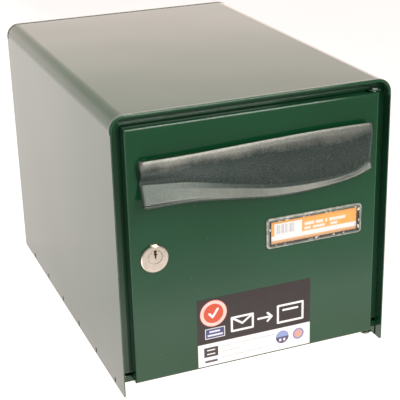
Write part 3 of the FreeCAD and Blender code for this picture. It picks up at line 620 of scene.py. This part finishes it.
def bevelled(piece, width, segments=2):
    bevel = piece.modifiers.new("bevel", "BEVEL")
    bevel.width = width
    bevel.segments = segments
    bevel.limit_method = "ANGLE"
    bevel.angle_limit = math.radians(40)
    bevel.harden_normals = True


def flap_skin():
    bm = bmesh.new()
    rings = []
    for column in range(FLAP_COLUMNS + 1):
        share = column / FLAP_COLUMNS
        x = FLAP_HALF * math.sin(math.pi * (share - 0.5)) * 0.45 + FLAP_HALF * (2 * share - 1) * 0.55
        places = [(x * MM, DOOR_FACE_Y - reach * MM, height * MM) for reach, height in flap_ring(x)]
        rings.append([bm.verts.new(place) for place in places])
    count = len(rings[0])
    for left, right in zip(rings, rings[1:]):
        for row in range(count):
            after = (row + 1) % count
            bm.faces.new((left[row], right[row], right[after], left[after]))
    half = count // 2
    for ring in (rings[0], rings[-1]):
        for row in range(half - 1):
            bm.faces.new((ring[row], ring[row + 1], ring[count - 2 - row], ring[count - 1 - row]))
    piece = finish_mesh("flap_skin", bm, FLAP_FINISH)
    sharpen(piece, 38)
    return piece


def flap_cheek(name, side):
    """An end plate behind the skin, rounded about the rod. It has no hole for the rod."""
    x = side * (FLAP_HALF - 0.2)
    outline = [Vector((max(reach - CHEEK_INSET, 0.7), height)) for reach, height in flap_line(x)]
    rim = outline[-1]
    outline = outline[2:]
    outline += [rim + Vector((-1.2, 0.6)), Vector((FLAP_CLEAR, FLAP_AXIS[1] - 22.0)),
                Vector((FLAP_CLEAR, FLAP_AXIS[1] - 1.5))]
    for degrees in range(160, 70, -15):
        angle = math.radians(degrees)
        outline.append(Vector((FLAP_AXIS[0] + CHEEK_ROUND_R * math.cos(angle),
                               FLAP_AXIS[1] + CHEEK_ROUND_R * math.sin(angle))))
    bm = bmesh.new()
    outer = [bm.verts.new((x * MM, DOOR_FACE_Y - point.x * MM, point.y * MM)) for point in outline]
    thick = side * CHEEK_THICK * MM
    inner = [bm.verts.new((vert.co.x - thick, vert.co.y, vert.co.z)) for vert in outer]
    bm.faces.new(outer)
    bm.faces.new(inner[::-1])
    for index in range(len(outer)):
        after = (index + 1) % len(outer)
        bm.faces.new((outer[index], outer[after], inner[after], inner[index]))
    piece = finish_mesh(name, bm, FLAP_FINISH, smooth=False)
    bevelled(piece, 0.3 * MM)
    return piece


def make_flap():
    pieces = [flap_skin(), flap_cheek("flap_cheek_left", -1), flap_cheek("flap_cheek_right", 1)]
    for piece in pieces:
        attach(piece, "flap")
        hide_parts("flap")


make_flap()

# ---- the name window ---------------------------------------------------------------
PEG_R = 1.5
PEG_SPACING = 100.0
PEG_END = 3.4                # depth behind the door's face
PANE_THICK = 0.7


def rounded_loop(centre, wide, high, radius, y, steps=8):
    """Points of a rounded rectangle in a plane of constant Y, in metres."""
    points = []
    for quarter, (across, up) in enumerate(((1, 1), (-1, 1), (-1, -1), (1, -1))):
        for step in range(steps + 1):
            angle = math.radians(90 * (quarter + step / steps))
            points.append(Vector((centre.x + across * (wide / 2 - radius) + radius * math.cos(angle), y,
                                  centre.z + up * (high / 2 - radius) + radius * math.sin(angle))))
    return points


def loft(bm, loops, closed):
    rings = [[bm.verts.new(point) for point in loop] for loop in loops]
    pairs = list(zip(rings, rings[1:]))
    if closed:
        pairs.append((rings[-1], rings[0]))
    for first, second in pairs:
        for index in range(len(first)):
            after = (index + 1) % len(first)
            bm.faces.new((first[index], first[after], second[after], second[index]))
    return rings


def make_window():
    low, high = (Vector(corner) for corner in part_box("name_holder"))
    card_low = Vector(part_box("name_card")[0])
    centre = (low + high) / 2
    wide, tall = high.x - low.x, high.z - low.z
    back, front = DOOR_FACE_Y, low.y
    side = (card_low.x - low.x)
    edge = (card_low.z - low.z)
    loops = []
    profile = ((0.0, back), (0.0, front + 1.0 * MM), (0.03, front + 0.55 * MM), (0.09, front + 0.22 * MM),
               (0.19, front + 0.04 * MM), (0.30, front), (0.85, front), (0.92, front + 0.12 * MM),
               (0.96, front + 0.5 * MM), (1.0, back - 0.42 * MM), (1.0, back))
    for share, depth in profile:
        radius = max(HOLDER_R * MM * (1 - 0.9 * share), 0.35 * MM)
        loops.append(rounded_loop(centre, wide - 2 * side * share, tall - 2 * edge * share, radius, depth))
    bm = bmesh.new()
    loft(bm, loops, closed=True)
    rim = finish_mesh("name_window_rim", bm, WINDOW_EDGE)
    sharpen(rim, 50)
    bm = bmesh.new()
    pane_wide, pane_tall = wide - 1.84 * side, tall - 1.84 * edge
    loops = [rounded_loop(centre, pane_wide, pane_tall, 0.5 * MM, front + 0.2 * MM),
             rounded_loop(centre, pane_wide, pane_tall, 0.5 * MM, front + PANE_THICK * MM)]
    rings = loft(bm, loops, closed=False)
    bm.faces.new(rings[0])
    bm.faces.new(rings[1][::-1])
    pane = finish_mesh("name_window_pane", bm, CLEAR, smooth=False)
    pieces = [rim, pane]
    for index, place in enumerate((-1, 1)):
        bm = bmesh.new()
        bmesh.ops.create_cone(bm, cap_ends=True, segments=24, radius1=PEG_R * MM, radius2=PEG_R * MM,
                              depth=(PEG_END + 0.5) * MM,
                              matrix=Matrix.Translation((centre.x + place * PEG_SPACING / 2 * MM,
                                                         DOOR_FACE_Y + (PEG_END - 0.5) / 2 * MM, centre.z))
                              @ Matrix.Rotation(math.radians(90), 4, "X"))
        peg = finish_mesh("name_window_peg_%d" % index, bm, WINDOW_EDGE, smooth=False)
        bevelled(peg, 0.25 * MM)
        pieces.append(peg)
    for piece in pieces:
        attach(piece, "front_door")
        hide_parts("name_holder")


make_window()


# ---- lock plugs --------------------------------------------------------------------
PLUG_R = 6.85
PLUG_EDGE = 0.5
KEYWAY = ((-0.8, 6.7), (0.8, 6.7), (1.5, 6.1), (1.5, 5.0), (0.9, 4.3), (0.9, 3.5), (1.9, 3.1),
          (1.9, 2.2), (1.0, 1.8), (0.9, 0.6), (0.7, -1.2), (0.35, -1.9), (-0.35, -1.9), (-0.7, -1.2),
          (-0.9, 1.4), (-1.0, 2.6), (-1.9, 3.0), (-1.9, 4.0), (-1.0, 4.4), (-1.5, 5.0), (-1.5, 6.1))
KEYWAY_DEEP = 11.0
PLUG_LONG = 16.9


def lock_plug(node, body, outward):
    """A plug with a broken edge and a profiled keyway. outward is the Y direction it faces."""
    low, high = (Vector(corner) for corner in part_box(node))
    centre = (low + high) / 2
    face = low.y if outward < 0 else high.y

    def ring(radius, depth):
        turns = [math.radians(5 * step) for step in range(72)]
        y = face - outward * depth * MM
        return [Vector((centre.x + radius * MM * math.cos(turn), y, centre.z + radius * MM * math.sin(turn)))
                for turn in turns]

    bm = bmesh.new()
    rings = loft(bm, [ring(PLUG_R - PLUG_EDGE, 0.0), ring(PLUG_R - 0.15, 0.12), ring(PLUG_R, PLUG_EDGE),
                      ring(PLUG_R, PLUG_LONG)], closed=False)
    bm.faces.new(rings[0])
    bm.faces.new(rings[-1][::-1])
    plug = finish_mesh(node + "_turned", bm, NICKEL)
    bm = bmesh.new()
    outline = [(centre.x - outward * x * MM, centre.z + z * MM) for x, z in KEYWAY]
    front = [bm.verts.new((x, face + outward * 1.0 * MM, z)) for x, z in outline]
    deep = [bm.verts.new((x, face - outward * KEYWAY_DEEP * MM, z)) for x, z in outline]
    bm.faces.new(front)
    bm.faces.new(deep[::-1])
    for index in range(len(front)):
        after = (index + 1) % len(front)
        bm.faces.new((front[index], front[after], deep[after], deep[index]))
    cutter = finish_mesh(node + "_cutter", bm, NICKEL, smooth=False)
    cut = plug.modifiers.new("keyway", "BOOLEAN")
    cut.operation = "DIFFERENCE"
    cut.solver = "EXACT"
    cut.object = cutter
    shape = bpy.data.meshes.new_from_object(plug.evaluated_get(bpy.context.evaluated_depsgraph_get()))
    plug.modifiers.clear()
    plug.data = shape
    bpy.data.objects.remove(cutter)
    sharpen(plug, 12)
    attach(plug, body)
    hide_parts(node)


lock_plug("front_lock_plug", "front_lock_turn", -1)
lock_plug("rear_lock_plug", "rear_lock_turn", 1)

# ---- camera and lights -----------------------------------------------------------
CAMERA_AZIMUTH = math.radians(-21.33)
CAMERA_HEIGHT = math.radians(22.03)
CAMERA_ROLL = math.radians(-1.53)
CAMERA_AWAY = 1.546
CAMERA_LENS = 99.85
CAMERA_AIM = Vector((0.1079, 0.2303, 0.0102))


def place_camera():
    back = Vector((math.sin(CAMERA_AZIMUTH) * math.cos(CAMERA_HEIGHT),
                   -math.cos(CAMERA_AZIMUTH) * math.cos(CAMERA_HEIGHT), math.sin(CAMERA_HEIGHT)))
    level = Vector((0, 0, 1)).cross(back).normalized()
    upright = back.cross(level)
    right = level * math.cos(CAMERA_ROLL) + upright * math.sin(CAMERA_ROLL)
    up = upright * math.cos(CAMERA_ROLL) - level * math.sin(CAMERA_ROLL)
    data = bpy.data.cameras.new("camera")
    data.lens = CAMERA_LENS
    data.sensor_width = 36.0
    camera = bpy.data.objects.new("camera", data)
    turn = Matrix((right, up, back)).transposed().to_4x4()
    camera.matrix_world = Matrix.Translation(CAMERA_AIM + back * CAMERA_AWAY) @ turn
    bpy.context.scene.collection.objects.link(camera)
    bpy.context.scene.camera = camera


def soft_light(name, place, aim, wide, high, power, colour=(1.0, 1.0, 1.0)):
    data = bpy.data.lights.new(name, "AREA")
    data.shape = "RECTANGLE"
    data.size = wide
    data.size_y = high
    data.energy = power
    data.color = colour
    light = bpy.data.objects.new(name, data)
    light.location = place
    light.rotation_euler = (Vector(aim) - Vector(place)).to_track_quat("-Z", "Y").to_euler()
    light.visible_camera = False
    bpy.context.scene.collection.objects.link(light)


# ---- the floor and the room ------------------------------------------------------
FLOOR_BASE = (0.22, 0.21, 0.20)
FLOOR_WARM = (1.00, 0.885, 0.865)
FLOOR_COOL = (0.93, 0.93, 0.93)
# Brightness along Y in front of the box: dim far out, brightest just before it, then level.
FLOOR_STEPS = ((-0.95, 0.05), (-0.72, 0.28), (-0.54, 0.68), (-0.42, 1.20), (-0.32, 2.0), (-0.20, 1.75),
               (0.00, 1.45))
FLOOR_AROUND = 1.15          # brightness at the sides and further out in front
FLOOR_SIZE = 12.0
ROOM_FRONT = (0.40, 0.40, 0.41)
ROOM_BACK_LOW = (2.20, 1.80, 1.74)
ROOM_BACK_HIGH = (1.20, 0.98, 0.95)
ROOM_LEFT = (1.20, 1.06, 1.02)
ROOM_TOP = (0.35, 0.35, 0.35)


def lay_floor():
    """A pale floor, lit from within so that it stays white, with a dim patch in front of the box."""
    graph = Graph("studio_floor")
    forward = graph.axes()[1]
    glow = FLOOR_STEPS[0][1]
    for (near, low), (far, high) in zip(FLOOR_STEPS, FLOOR_STEPS[1:]):
        step = graph.math("MULTIPLY", graph.fit(forward, near, far), high - low)
        glow = graph.math("ADD", glow, step)
    across = graph.axes()[0]
    sides = [graph.fit(across, -0.75, -0.20, 1.0, 0.0), graph.fit(across, 0.65, 1.30),
             graph.fit(forward, -1.65, -0.98, 1.0, 0.0)]
    clear = graph.product(graph.join(sides), graph.fit(forward, -0.40, -0.32, 1.0, 0.0))
    kept = graph.product(glow, graph.math("SUBTRACT", 1.0, clear))
    glow = graph.math("ADD", kept, graph.product(clear, FLOOR_AROUND))
    glow = graph.product(glow, graph.fit(across, -0.36, -0.16, 1.0, 0.80),
                         graph.fit(across, 0.0, 0.25, 1.0, 0.82))
    cloud = graph.fit(graph.noise(1.5, 2.0), 0.3, 0.7, 0.97, 1.0)
    tint = graph.mix(graph.fit(forward, -0.50, -0.25), FLOOR_COOL, FLOOR_WARM)
    tint = graph.mix(1.0, tint, graph.grey(cloud), "MULTIPLY")
    material = graph.surface(Base_Color=FLOOR_BASE, Roughness=0.9, Specular_IOR_Level=0.0,
                             Emission_Color=tint, Emission_Strength=glow)
    mesh = bpy.data.meshes.new("studio_floor")
    corners = [(x * FLOOR_SIZE, y * FLOOR_SIZE, 0) for x, y in ((-1, -1), (1, -1), (1, 1), (-1, 1))]
    mesh.from_pydata(corners, [], [(0, 1, 2, 3)])
    floor = bpy.data.objects.new("studio_floor", mesh)
    mesh.materials.append(material)
    bpy.context.scene.collection.objects.link(floor)


def light_room():
    """A room that is bright and warm behind and dim in front, with soft boxes over and before it."""
    world = bpy.data.worlds.new("studio")
    world.use_nodes = True
    tree = world.node_tree
    place = tree.nodes.new("ShaderNodeTexCoord").outputs["Generated"]
    split = tree.nodes.new("ShaderNodeSeparateXYZ")
    tree.links.new(place, split.inputs[0])

    def blend(axis, low, high, first, second):
        ramp = tree.nodes.new("ShaderNodeMapRange")
        ramp.inputs["From Min"].default_value = low
        ramp.inputs["From Max"].default_value = high
        tree.links.new(split.outputs[axis], ramp.inputs["Value"])
        mix = tree.nodes.new("ShaderNodeMix")
        mix.data_type = "RGBA"
        tree.links.new(ramp.outputs["Result"], mix.inputs["Factor"])
        for value, socket in ((first, mix.inputs[6]), (second, mix.inputs[7])):
            if isinstance(value, tuple):
                socket.default_value = (*value, 1.0)
            else:
                tree.links.new(value, socket)
        return mix.outputs[2]

    back = blend("Z", 0.15, 0.35, ROOM_BACK_LOW, ROOM_BACK_HIGH)
    back = blend("X", -0.65, -0.10, ROOM_LEFT, back)
    colour = blend("Y", -0.20, 0.45, ROOM_FRONT, back)
    colour = blend("Z", 0.40, 0.75, colour, ROOM_TOP)
    tree.links.new(colour, tree.nodes["Background"].inputs["Color"])
    bpy.context.scene.world = world
    soft_light("overhead_strip", (-0.1, 0.10, 1.35), (0.0, 0.0, 0.2), 1.1, 0.12, 7.0)
    soft_light("rear_strip", (-0.1, 0.90, 1.05), (0.0, 0.0, 0.25), 1.2, 0.10, 5.0)
    soft_light("front_low", (0.30, -1.45, 0.60), (0.06, -0.2, 0.2), 0.6, 0.25, 3.0, (1.0, 0.96, 0.90))
    soft_light("front_fill", (0.50, -1.35, 0.95), (0.06, -0.2, 0.15), 0.5, 0.25, 4.5, (1.0, 0.96, 0.91))
    soft_light("front_high", (0.50, -0.95, 1.35), (0.06, -0.2, 0.15), 0.5, 0.25, 6.5, (1.0, 0.96, 0.91))
    bpy.context.scene.view_settings.view_transform = "Standard"


place_camera()
lay_floor()
light_room()
